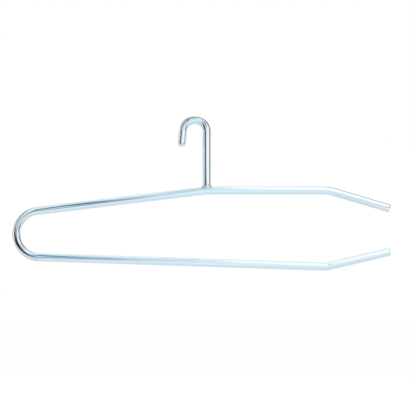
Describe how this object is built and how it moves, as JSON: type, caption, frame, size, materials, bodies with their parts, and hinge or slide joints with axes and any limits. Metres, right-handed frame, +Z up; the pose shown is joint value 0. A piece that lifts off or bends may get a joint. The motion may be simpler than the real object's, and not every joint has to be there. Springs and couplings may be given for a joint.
{
  "type": "trouser hanger",
  "caption": "Open-ended chrome trouser hanger: one bar bent into two long arms with a mouth at one end, and a welded cane-shaped hook.",
  "frame": {"origin": "the rail seat, which is the highest point of the inside of the hook, in the middle of the bar's thickness", "axes": "+X along the hanger's width from the closed end bend to the open mouth, +Y through its thickness away from the pictured side, +Z up as it hangs"},
  "size_m": [0.3783, 0.0104, 0.1547],
  "materials": {
    "bright_chrome": "bright nickel and chrome plate on drawn steel bar",
    "weld_chrome": "chrome plate over an undressed weld bead"
  },
  "bodies": {
    "root": {"frame_rod": "bright_chrome", "hook_rod": "bright_chrome", "hook_weld": "weld_chrome"}
  },
  "joints": []
}
